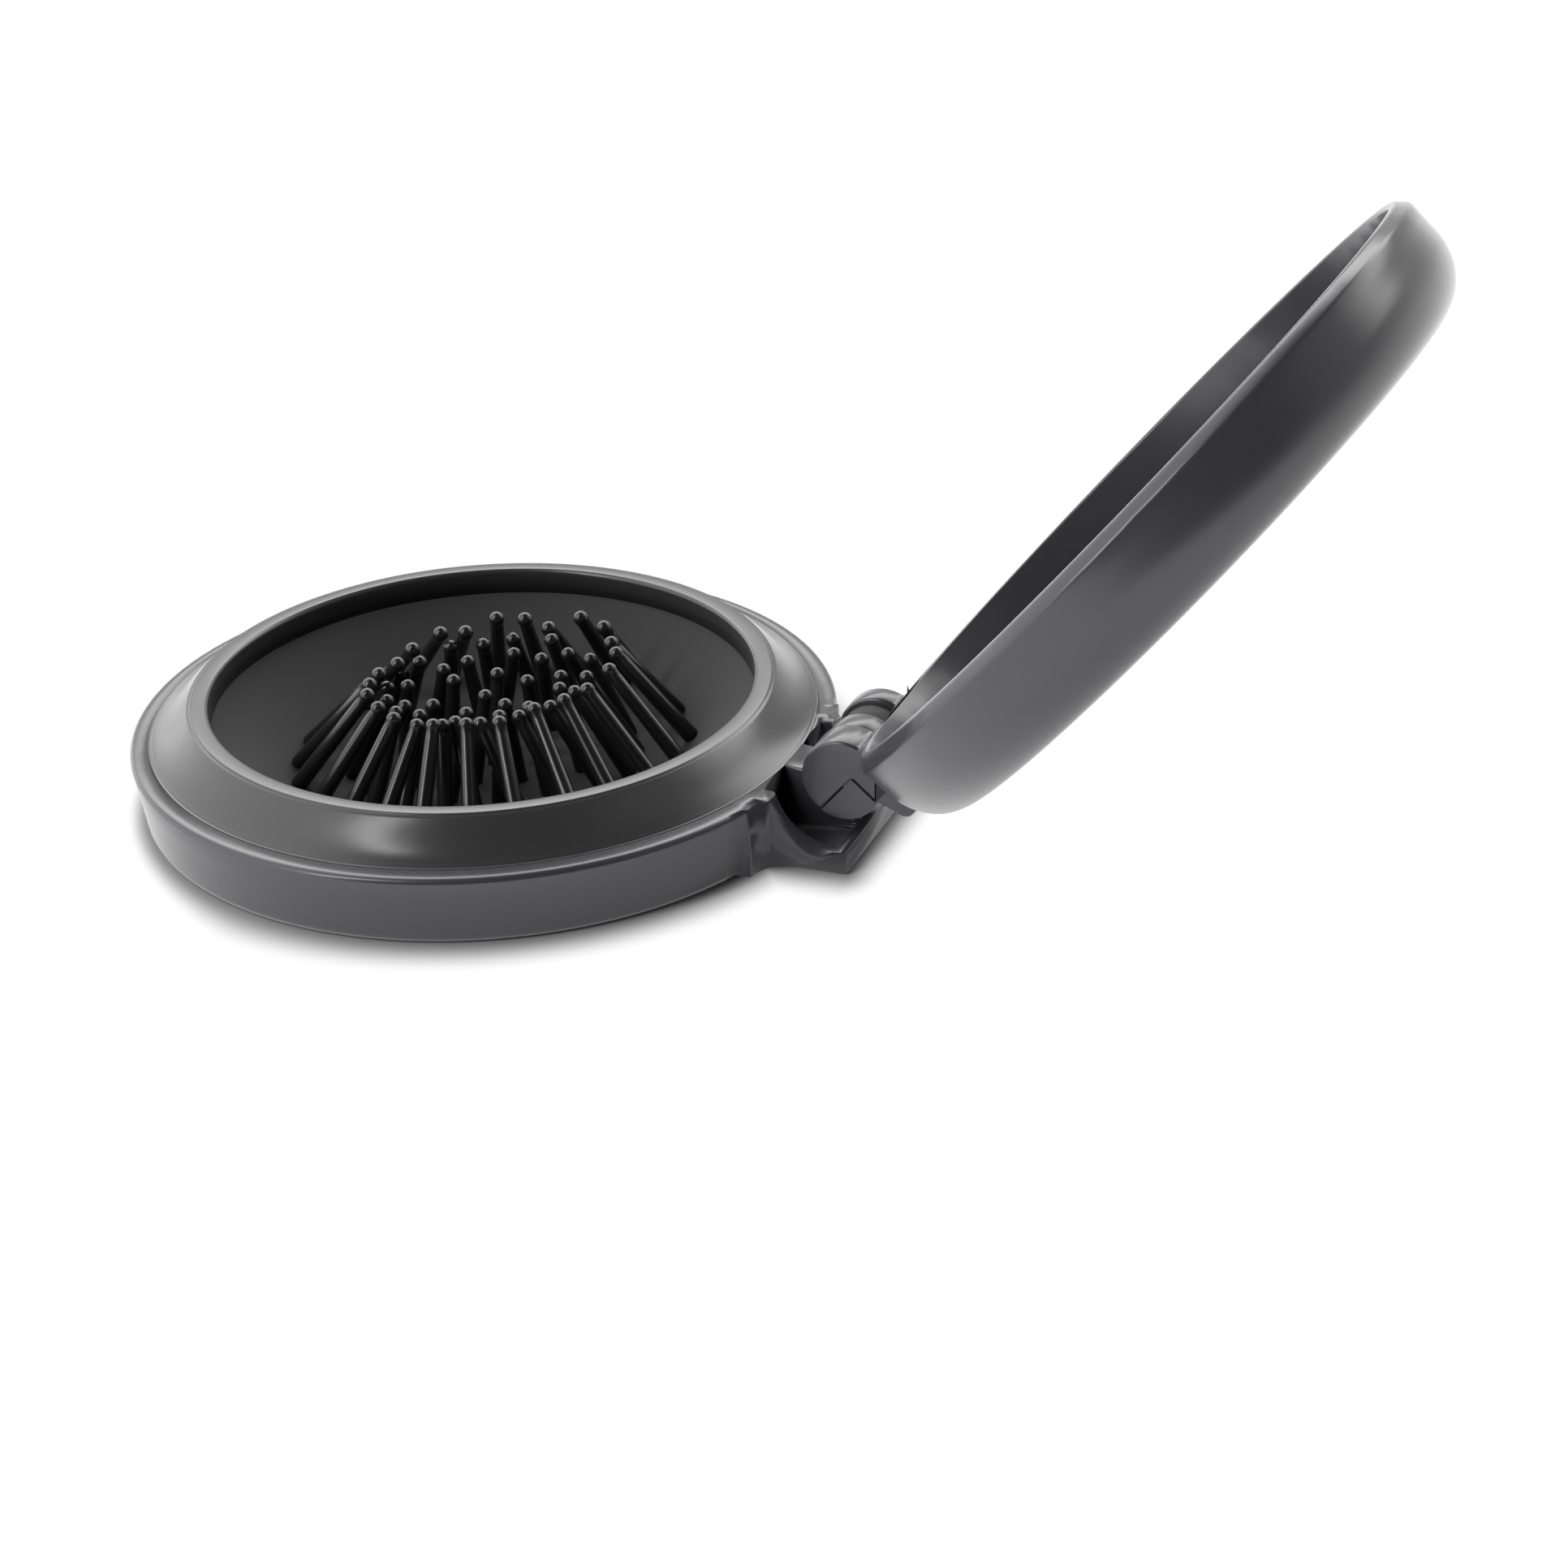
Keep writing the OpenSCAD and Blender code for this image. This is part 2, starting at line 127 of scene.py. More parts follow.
class Sock:
    """A shader output that Python operators turn into Math nodes."""

    def __init__(self, shader: "Shader", socket: bpy.types.NodeSocket) -> None:
        """Wraps a socket.

        Args:
            shader: the node tree that the socket is in.
            socket: an output socket.
        """
        self.shader = shader
        self.socket = socket

    def _math(self, operation: str, *values: Value) -> "Sock":
        """One Math node.

        Args:
            operation: the Math node's operation.
            values: its inputs in order.

        Returns:
            The node's output.
        """
        return self.shader.node(
            "ShaderNodeMath", {"operation": operation}, dict(enumerate(values))
        )

    def __add__(self, other: Value) -> "Sock":
        """Self plus other."""
        return self._math("ADD", self, other)

    __radd__ = __add__

    def __sub__(self, other: Value) -> "Sock":
        """Self less other."""
        return self._math("SUBTRACT", self, other)

    def __rsub__(self, other: Value) -> "Sock":
        """Other less self."""
        return self._math("SUBTRACT", other, self)

    def __mul__(self, other: Value) -> "Sock":
        """Self times other."""
        return self._math("MULTIPLY", self, other)

    __rmul__ = __mul__

    def __truediv__(self, other: Value) -> "Sock":
        """Self over other."""
        return self._math("DIVIDE", self, other)

    def __pow__(self, other: Value) -> "Sock":
        """Self to the power of other."""
        return self._math("POWER", self, other)

    def sine(self) -> "Sock":
        """The sine of self, in radians."""
        return self._math("SINE", self)

    def magnitude(self) -> "Sock":
        """Self without its sign."""
        return self._math("ABSOLUTE", self)

    def at_least(self, other: Value) -> "Sock":
        """The larger of the two."""
        return self._math("MAXIMUM", self, other)

    def at_most(self, other: Value) -> "Sock":
        """The smaller of the two."""
        return self._math("MINIMUM", self, other)

    def step(self, low: float, high: float) -> "Sock":
        """A smooth step from 0 at low to 1 at high.

        Args:
            low: the value that gives 0.
            high: the value that gives 1.

        Returns:
            The step.
        """
        return self.shader.node(
            "ShaderNodeMapRange",
            {"interpolation_type": "SMOOTHSTEP"},
            {"Value": self, "From Min": low, "From Max": high},
            "Result",
        )


class Shader:
    """A material's or world's node tree, built from calls."""

    def __init__(self, tree: bpy.types.NodeTree) -> None:
        """Empties the tree.

        Args:
            tree: the node tree to build in.
        """
        self.tree = tree
        tree.nodes.clear()

    def node(
        self,
        kind: str,
        settings: dict[str, object] | None = None,
        inputs: dict[str | int, object] | None = None,
        output: str | int = 0,
    ) -> Sock:
        """Adds a node, sets it up and links it.

        Args:
            kind: the node's type.
            settings: attributes set first; "stops" are a colour ramp's (place, grey) pairs.
            inputs: values or links by socket name or number.
            output: the output socket to return.

        Returns:
            The chosen output.
        """
        made = self.tree.nodes.new(kind)
        for name, value in (settings or {}).items():
            if name == "stops":
                self._stops(made, value)
            else:
                setattr(made, name, value)
        for name, value in (inputs or {}).items():
            socket = made.inputs[name]
            if isinstance(value, Sock):
                self.tree.links.new(value.socket, socket)
            else:
                socket.default_value = value
        return Sock(self, made.outputs[output]) if made.outputs else None

    @staticmethod
    def _stops(ramp: bpy.types.Node, stops: Iterable[tuple[float, float]]) -> None:
        """Sets a colour ramp's grey stops.

        Args:
            ramp: the colour ramp node.
            stops: (place, grey) pairs.
        """
        elements = ramp.color_ramp.elements
        while len(elements) > 1:
            elements.remove(elements[-1])
        for number, (place, grey) in enumerate(stops):
            stop = elements[0] if number == 0 else elements.new(place)
            stop.position = place
            stop.color = (grey, grey, grey, 1)

    def place(self, scale: Point = (1, 1, 1), turn: Point = (0, 0, 0)) -> Sock:
        """Object coordinates, scaled and turned.

        Args:
            scale: the scale along each axis, per metre.
            turn: Euler angles in degrees.

        Returns:
            The vector.
        """
        where = self.node("ShaderNodeTexCoord", output="Object")
        return self.node(
            "ShaderNodeMapping",
            {},
            {
                "Vector": where,
                "Scale": tuple(scale),
                "Rotation": tuple(math.radians(a) for a in turn),
            },
        )

    def noise(
        self, where: Sock, scale: float, detail: float = 2.0, rough: float = 0.5
    ) -> Sock:
        """Noise from 0 to 1.

        Args:
            where: the coordinates.
            scale: waves per unit of the coordinates.
            detail: octaves.
            rough: how much the fine octaves weigh.

        Returns:
            The noise's value.
        """
        return self.node(
            "ShaderNodeTexNoise",
            {},
            {"Vector": where, "Scale": scale, "Detail": detail, "Roughness": rough},
            "Fac",
        )

    def axes(self, vector: Sock) -> tuple[Sock, Sock, Sock]:
        """The three parts of a vector.

        Args:
            vector: the vector.

        Returns:
            X, Y and Z.
        """
        split = self.node("ShaderNodeSeparateXYZ", {}, {0: vector}).socket.node
        return tuple(Sock(self, out) for out in split.outputs)

    def shade(self, mask: Value, low: Point, high: Point) -> Sock:
        """A colour between two by a mask.

        Args:
            mask: 0 gives low and 1 gives high.
            low: red, green and blue.
            high: red, green and blue.

        Returns:
            The colour.
        """
        return self.node(
            "ShaderNodeMix",
            {"data_type": "RGBA"},
            {0: mask, 6: (*low, 1), 7: (*high, 1)},
            2,
        )

    def bump(self, height: Sock, depth: float, under: Sock | None = None) -> Sock:
        """A normal from a height.

        Args:
            height: the height, from 0 to 1.
            depth: what 1 of height is, in metres.
            under: a normal that this one adds to.

        Returns:
            The normal.
        """
        inputs = {"Height": height, "Distance": depth, "Strength": 1.0}
        if under:
            inputs["Normal"] = under
        return self.node("ShaderNodeBump", {}, inputs)


# ---- Finishes ----


@dataclass(frozen=True)
class Finish:
    """A surface finish. Subclasses add what varies over it."""

    name: str
    slot: Slot
    dark: Point
    light: Point
    rough_low: float
    rough_high: float

    def material(self) -> bpy.types.Material:
        """The material, made at its first use.

        Returns:
            The Blender material.
        """
        made = bpy.data.materials.get(self.name)
        if made:
            return made
        made = bpy.data.materials.new(self.name)
        made.use_nodes = True
        made.diffuse_color = (*self.light, 1)
        shader = Shader(made.node_tree)
        inputs = self.inputs(shader)
        surface = shader.node("ShaderNodeBsdfPrincipled", {}, inputs)
        shader.node("ShaderNodeOutputMaterial", {}, {"Surface": surface})
        return made

    def inputs(self, shader: Shader) -> dict[str, object]:
        """The principled shader's inputs.

        Args:
            shader: the tree to build in.

        Returns:
            Values or links by input name.
        """
        raise NotImplementedError


@dataclass(frozen=True)
class MouldedPlastic(Finish):
    """Moulded plastic: faint flow marks, fine grain, handling scratches and dust."""

    grain: float = 0.000003
    ripple: float = 0.000008
    scratch: float = 0.000006

    def inputs(self, shader: Shader) -> dict[str, object]:
        """Plastic that varies softly in colour and gloss, with hairline scratches."""
        where = shader.place()
        flow = shader.noise(where, 60, 3)
        cloud = shader.noise(where, 240, 4, 0.6)
        grain = shader.noise(where, 5200, 2)
        worn = shader.node("ShaderNodeNewGeometry", output="Pointiness").step(0.52, 0.6)
        dust = shader.noise(where, 2600, 1).step(0.72, 0.8)
        along = shader.noise(shader.place((90, 3600, 1500), (0, 0, 27)), 1, 1)
        across = shader.noise(shader.place((3300, 110, 1400), (0, 12, -18)), 1, 1)
        scratches = (along.step(0.66, 0.72) + across.step(0.68, 0.74)) * cloud
        tone = flow * 0.6 + cloud * 0.4 + worn * 0.25 + dust * 0.2
        gloss = flow * 0.5 + cloud * 0.5 + scratches * 0.4 + dust * 0.3
        spread = self.rough_high - self.rough_low
        soft = shader.bump(flow, self.ripple)
        fine = shader.bump(grain, self.grain, soft)
        return {
            "Base Color": shader.shade(tone.step(0.25, 0.95), self.dark, self.light),
            "Roughness": gloss * spread + self.rough_low,
            "Normal": shader.bump(scratches, self.scratch, fine),
            "IOR": 1.6,
        }


@dataclass(frozen=True)
class ScuffedPlastic(Finish):
    """Plastic that another part rubs on: rings of scratches round the hinge axis."""

    def inputs(self, shader: Shader) -> dict[str, object]:
        """Rough plastic with rings, grit and light scuffs."""
        where = shader.place()
        rings = shader.noise(shader.place((150, 5200, 150)), 1, 3, 0.7)
        grit = shader.noise(where, 2400, 4, 0.7)
        patch = shader.noise(where, 420, 3).step(0.48, 0.66)
        scuff = (rings.step(0.5, 0.72) * 0.6 + grit.step(0.55, 0.75) * 0.5) * patch
        spread = self.rough_high - self.rough_low
        deep = shader.bump(grit, 0.00003)
        return {
            "Base Color": shader.shade(scuff, self.dark, self.light),
            "Roughness": grit * spread + self.rough_low,
            "Normal": shader.bump(rings, 0.00002, deep),
            "IOR": 1.6,
        }


@dataclass(frozen=True)
class HatchedRubber(Finish):
    """Rubber with a fine woven emboss in two directions."""

    pitch: float = 0.00104
    depth: float = 0.00012

    def inputs(self, shader: Shader) -> dict[str, object]:
        """Rubber with the emboss, its painted shade in the colour, a dusty bloom and soft
        gloss.
        """
        where = shader.place()
        x, y, _ = shader.axes(where)
        turns = 2 * math.pi / self.pitch
        warp = shader.noise(where, 150, 2) * 1.2
        ribs = (x * turns + warp).sine() * 0.5 + 0.5
        rows = (y * turns + warp).sine() * 0.5 + 0.5
        cloth = ribs * rows
        bloom = shader.noise(where, 190, 4, 0.6)
        speck = shader.noise(where, 3000, 2).step(0.68, 0.78)
        spread = self.rough_high - self.rough_low
        fine = shader.bump(shader.noise(where, 4200, 2), 0.000012)
        return {
            # colour lighter on the emboss's crests and darker in its troughs: painted shade
            # of the emboss; the specks are the rubber's own
            "Base Color": shader.shade(
                ribs * 0.45 + cloth * 0.3 + speck * 0.25, self.dark, self.light
            ),
            "Roughness": bloom * spread + self.rough_low,
            "Normal": shader.bump(cloth, self.depth, fine),
            "IOR": 1.1,
        }


@dataclass(frozen=True)
class DrawnPlastic(Finish):
    """Glossy pin plastic with faint lines along the pin."""

    def inputs(self, shader: Shader) -> dict[str, object]:
        """Black plastic whose gloss breaks up along each pin."""
        where = shader.place()
        lines = shader.noise(shader.place((3800, 3800, 240)), 1, 2)
        smear = shader.noise(where, 800, 3, 0.6)
        dust = shader.noise(where, 5200, 1).step(0.7, 0.8)
        spread = self.rough_high - self.rough_low
        return {
            "Base Color": shader.shade(
                smear * 0.6 + dust * 0.5, self.dark, self.light
            ),
            "Roughness": (smear * 0.7 + dust * 0.6) * spread + self.rough_low,
            "Normal": shader.bump(lines, 0.000008),
            "IOR": 1.6,
        }


@dataclass(frozen=True)
class GroundSteel(Finish):
    """Ground steel rod, with its marks round the rod."""

    def inputs(self, shader: Shader) -> dict[str, object]:
        """Steel with fine rings."""
        rings = shader.noise(shader.place((200, 9000, 200)), 1, 2)
        stain = shader.noise(shader.place(), 500, 3)
        spread = self.rough_high - self.rough_low
        return {
            "Base Color": shader.shade(stain, self.dark, self.light),
            "Metallic": 1.0,
            "Roughness": (rings * 0.6 + stain * 0.4) * spread + self.rough_low,
            "Normal": shader.bump(rings, 0.000003),
        }


@dataclass(frozen=True)
class SilveredGlass(Finish):
    """Mirror glass with faint smears and dust."""

    def inputs(self, shader: Shader) -> dict[str, object]:
        """A mirror whose gloss is broken by smears."""
        where = shader.place()
        smear = shader.noise(shader.place((70, 260, 160), (0, 0, 30)), 1, 4).step(
            0.5, 0.9
        )
        dust = shader.noise(where, 3400, 1).step(0.74, 0.8)
        spread = self.rough_high - self.rough_low
        return {
            "Base Color": shader.shade(smear * 0.6 + dust, self.light, self.dark),
            "Metallic": 1.0,
            "Roughness": (smear + dust) * spread + self.rough_low,
            "Coat Weight": 1.0,
        }


@dataclass(frozen=True)
class OpenFoam(Finish):
    """Pale adhesive foam with small cells."""

    def inputs(self, shader: Shader) -> dict[str, object]:
        """Foam with cells in colour and height."""
        where = shader.place()
        cells = shader.node(
            "ShaderNodeTexVoronoi", {}, {"Vector": where, "Scale": 2600.0}, "Distance"
        )
        stain = shader.noise(where, 160, 3)
        spread = self.rough_high - self.rough_low
        return {
            "Base Color": shader.shade(
                cells * 0.7 + stain * 0.4, self.dark, self.light
            ),
            "Roughness": stain * spread + self.rough_low,
            "Normal": shader.bump(cells, 0.00005),
        }


CASE = MouldedPlastic(
    "case_plastic", Slot.CASE, (0.003, 0.003, 0.0032), (0.014, 0.014, 0.0145), 0.12, 0.26
)
BEZEL = MouldedPlastic(
    "bezel_plastic",
    Slot.BEZEL,
    (0.003, 0.003, 0.0032),
    (0.012, 0.012, 0.0125),
    0.05,
    0.15,
    grain=0.0000006,
    ripple=0.00002,
    scratch=0.000003,
)
INNER = MouldedPlastic(
    "inner_plastic", Slot.INNER, (0.03, 0.03, 0.032), (0.06, 0.06, 0.064), 0.4, 0.6
)
SPACER = ScuffedPlastic(
    "spacer_plastic", Slot.SPACER, (0.002, 0.002, 0.002), (0.07, 0.07, 0.07), 0.14, 0.4
)
RUBBER = HatchedRubber(
    "pad_rubber", Slot.RUBBER, (0.0003, 0.0003, 0.0003), (0.022, 0.022, 0.023), 0.3, 0.42
)
PIN = DrawnPlastic(
    "pin_plastic", Slot.PIN, (0.0006, 0.0006, 0.0006), (0.004, 0.004, 0.0042), 0.03, 0.09
)
STEEL = GroundSteel(
    "pin_steel", Slot.STEEL, (0.4, 0.4, 0.41), (0.62, 0.62, 0.63), 0.2, 0.4
)
MIRROR = SilveredGlass(
    "mirror_glass", Slot.MIRROR, (0.7, 0.71, 0.72), (0.9, 0.92, 0.93), 0.01, 0.2
)
FOAM = OpenFoam("foam", Slot.FOAM, (0.5, 0.5, 0.46), (0.82, 0.82, 0.76), 0.8, 0.95)


# ---- Meshes ----


def add_object(name: str, mesh: bpy.types.Mesh) -> bpy.types.Object:
    """Links a new object.

    Args:
        name: its name.
        mesh: its mesh.

    Returns:
        The object.
    """
    made = bpy.data.objects.new(name, mesh)
    bpy.context.scene.collection.objects.link(made)
    return made


def finish_mesh(mesh: bpy.types.Mesh, finish: Finish) -> None:
    """Smooths a mesh's shading and gives it a finish.

    Args:
        mesh: the mesh.
        finish: its finish.
    """
    mesh.materials.clear()
    mesh.materials.append(finish.material())
    for face in mesh.polygons:
        face.use_smooth = True
        face.material_index = 0


def arc(
    x: float, y: float, rx: float, ry: float, start: float, end: float, count: int = 8
) -> list[tuple[float, float]]:
    """Points of an elliptic arc in a profile.

    Args:
        x: the middle's first coordinate.
        y: the middle's second coordinate.
        rx: the radius along the first.
        ry: the radius along the second.
        start: the first angle in degrees.
        end: the last angle in degrees.
        count: how many steps it has.

    Returns:
        The points.
    """
    angles = [
        math.radians(start + (end - start) * i / count) for i in range(count + 1)
    ]
    return [(x + rx * math.cos(a), y + ry * math.sin(a)) for a in angles]


def lathe(
    name: str,
    profile: Profile,
    sides: int,
    closed: bool = False,
    shift: Callable[[Vector], Vector] | None = None,
) -> bpy.types.Mesh:
    """A mesh turned about the Z axis.

    Args:
        name: the mesh's name.
        profile: (radius, height) points in millimetres; radius 0 makes a pole.
        sides: how many steps the turn has.
        closed: whether the last point joins the first.
        shift: moves each point, in millimetres.

    Returns:
        The mesh, in metres.
    """
    work = bmesh.new()
    rings: list[list[bmesh.types.BMVert]] = []
    for radius, height in profile:
        steps = 1 if radius < 1e-6 else sides
        ring = []
        for k in range(steps):
            angle = 2 * math.pi * k / sides
            point = Vector((radius * math.cos(angle), radius * math.sin(angle), height))
            ring.append(work.verts.new((shift(point) if shift else point) * MM))
        rings.append(ring)
    pairs = list(zip(rings, rings[1:])) + ([(rings[-1], rings[0])] if closed else [])
    for low, high in pairs:
        for k in range(sides):
            corners = [
                low[k % len(low)],
                low[(k + 1) % len(low)],
                high[(k + 1) % len(high)],
                high[k % len(high)],
            ]
            unique = list(dict.fromkeys(corners))
            if len(unique) > 2:
                work.faces.new(unique)
    bmesh.ops.recalc_face_normals(work, faces=work.faces)
    mesh = bpy.data.meshes.new(name)
    work.to_mesh(mesh)
    work.free()
    return mesh


def join_meshes(name: str, meshes: Iterable[bpy.types.Mesh]) -> bpy.types.Mesh:
    """One mesh from several.

    Args:
        name: the new mesh's name.
        meshes: the meshes, which are removed.

    Returns:
        The mesh.
    """
    work = bmesh.new()
    for mesh in meshes:
        work.from_mesh(mesh)
        bpy.data.meshes.remove(mesh)
    joined = bpy.data.meshes.new(name)
    work.to_mesh(joined)
    work.free()
    return joined


@dataclass
class SubAssembly:
    """Pieces that belong together and ride on one body."""

    body: Body
    made: list[bpy.types.Object] = field(default_factory=list)

    def keep(
        self,
        piece: bpy.types.Object,
        finish: Finish,
        *nodes: str,
        body: Body | None = None,
    ) -> bpy.types.Object:
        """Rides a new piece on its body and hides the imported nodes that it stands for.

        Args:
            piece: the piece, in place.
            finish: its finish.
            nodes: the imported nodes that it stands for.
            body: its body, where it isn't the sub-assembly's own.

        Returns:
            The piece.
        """
        if not piece.data.materials:
            finish_mesh(piece.data, finish)
        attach(piece, (body or self.body).value)
        if nodes:
            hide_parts(*nodes)
        self.made.append(piece)
        return piece

    def dress(self, node: str, finish: Finish) -> None:
        """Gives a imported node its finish.

        Args:
            node: the node's name.
            finish: its finish.
        """
        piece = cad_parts[node]
        piece.data.materials.clear()
        piece.data.materials.append(finish.material())
        self.made.append(piece)

    def round_edges(
        self,
        node: str,
        finish: Finish,
        width: float,
        name: str,
        limit: float = 32.0,
        crisp: Callable[[Vector], bool] | None = None,
        carve: Callable[[Vector], Vector] | None = None,
    ) -> bpy.types.Object:
        """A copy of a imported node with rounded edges, as moulding leaves them.

        Args:
            node: the node that it stands for.
            finish: its finish.
            width: how wide the rounds are, in millimetres.
            name: the piece's name.
            limit: the angle above which an edge is rounded, in degrees.
            crisp: says of a place, in millimetres, that its edges stay as they are.
            carve: moves each point, in millimetres, before the edges are rounded.

        Returns:
            The piece.
        """
        work = bmesh.new()
        work.from_mesh(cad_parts[node].data)
        bmesh.ops.remove_doubles(work, verts=work.verts, dist=0.002 * MM)
        for vert in work.verts if carve else ():
            vert.co = carve(vert.co / MM) * MM
        bmesh.ops.dissolve_limit(
            work,
            angle_limit=math.radians(0.4),
            verts=work.verts,
            edges=work.edges,
            use_dissolve_boundaries=False,
        )
        bmesh.ops.recalc_face_normals(work, faces=work.faces)
        weights = work.edges.layers.float.new("bevel_weight_edge")
        for edge in work.edges:
            middle = (edge.verts[0].co + edge.verts[1].co) / (2 * MM)
            sharp = edge.calc_face_angle(0) > math.radians(limit)
            edge[weights] = float(sharp and not (crisp and crisp(middle)))
        mesh = bpy.data.meshes.new(name)
        work.to_mesh(mesh)
        work.free()
        finish_mesh(mesh, finish)
        piece = add_object(name, mesh)
        rounds = piece.modifiers.new("Edge rounds", "BEVEL")
        rounds.width = width * MM
        rounds.segments = 3
        rounds.limit_method = "WEIGHT"
        rounds.harden_normals = True
        rounds.use_clamp_overlap = False
        rounds.miter_outer = "MITER_ARC"
        return self.keep(piece, finish, node)

    def report(self) -> None:
        """Logs each piece."""
        for piece in self.made:
            LOG.info("%s: %s", type(self).__name__, piece.name)


# ---- Sub-assemblies ----


@dataclass
class BaseCase(SubAssembly):
    """Base shell with its hinge block, and the parts fixed in it."""

    body: Body = Body.BASE
    edge_round: float = 0.24
    ledge_in: float = 31.1
    ledge_z: float = 6.9
    ledge_drop: float = 0.25
    ledge_slope: float = 0.18
    block_half: float = 8.3
    block_root_x: float = -6.0
    near: float = 0.05

    def relax(self, point: Vector) -> Vector:
        """Lets the ledge fall outwards.

        Args:
            point: a point in millimetres.

        Returns:
            The moved point.
        """
        out = math.hypot(point.x + HINGE_OUT, point.y)
        if point.z > self.ledge_z - 0.6 and out > self.ledge_in - self.near:
            fall = max(0.0, out - self.ledge_in) * self.ledge_slope
            return point - Vector((0, 0, min(self.ledge_drop, fall)))
        return point

    def plain(self, place: Vector) -> bool:
        """Whether an edge stays sharp: on the round shell or the block's flanks.

        Args:
            place: the edge's middle, in millimetres.

        Returns:
            True where the edge stays as it is.
        """
        beside = abs(place.y) > self.block_half - self.near
        return beside or place.x < self.block_root_x

    def build(self) -> None:
        """Builds the shell, the spacer and the inner ring."""
        self.round_edges(
            "base_shell",
            CASE,
            self.edge_round,
            "base_case",
            crisp=self.plain,
            carve=self.relax,
        )
        self.round_edges("spacer_ring", SPACER, 0.12, "hinge_spacer")
        self.dress("clamp_ring", INNER)


@dataclass
class Bezel(SubAssembly):
    """Polished ring round the brush, a little uneven from polishing."""

    body: Body = Body.BASE
    outer_r: float = 31.1
    ledge_z: float = 6.9
    foot_round: float = 0.5
    floor_z: float = 1.6
    rim_r: float = 27.2
    rim_z: float = 10.15
    mouth_r: float = 25.4
    mouth_low: float = 7.7
    wall: float = 1.6
    sides: int = 384
    wave: float = 0.022

    def profile(self) -> list[tuple[float, float]]:
        """The ring's section, outside first."""
        run, rise = self.outer_r - self.rim_r, self.rim_z - self.ledge_z
        slope = []
        for i in range(1, 24):
            t = i / 24
            dip = 0.13 * math.sin(math.pi * t) * (1 - t)
            slope.append((self.outer_r - run * t, self.ledge_z + rise * (t - dip)))
        inner = self.outer_r - self.wall
        return [
            (self.outer_r - 0.1, self.floor_z),
            (self.outer_r - 0.1, self.ledge_z - 0.4),
            (self.outer_r + 0.02, self.ledge_z - 0.3),
            *arc(
                self.outer_r + 0.16,
                self.ledge_z + self.foot_round,
                self.foot_round,
                self.foot_round + 0.02,
                270,
                229,
                5,
            ),
            *slope[1:],
            *arc(self.rim_r - 0.28, self.rim_z - 0.34, 0.34, 0.34, 35, 90, 5),
            *arc(self.mouth_r + 0.4, self.rim_z - 0.4, 0.4, 0.4, 90, 180, 8),
            (self.mouth_r, self.mouth_low),
            (inner - 0.3, self.mouth_low),
            (inner, self.mouth_low - 0.5),
            (inner, self.floor_z),
        ]

    def unevenness(self, point: Vector) -> Vector:
        """Moves a point by the polish's waves and the rim's small nicks.

        Args:
            point: a point in millimetres about the base's middle.

        Returns:
            The moved point.
        """
        height = min(1.0, max(0.0, (point.z - self.ledge_z) / 1.5))
        slow = noise.noise(point * 0.16) * self.wave
        fine = noise.noise(point * 0.9 + Vector((7, 3, 1))) * self.wave * 0.3
        out = Vector((point.x, point.y, 0)).normalized()
        return point + out * (slow + fine) * height

    def build(self) -> None:
        """Builds the ring."""
        mesh = lathe(
            "bezel", self.profile(), self.sides, closed=True, shift=self.unevenness
        )
        piece = add_object("bezel", mesh)
        piece.location = (-HINGE_OUT * MM, 0, 0)
        self.keep(piece, BEZEL, "bezel_ring")


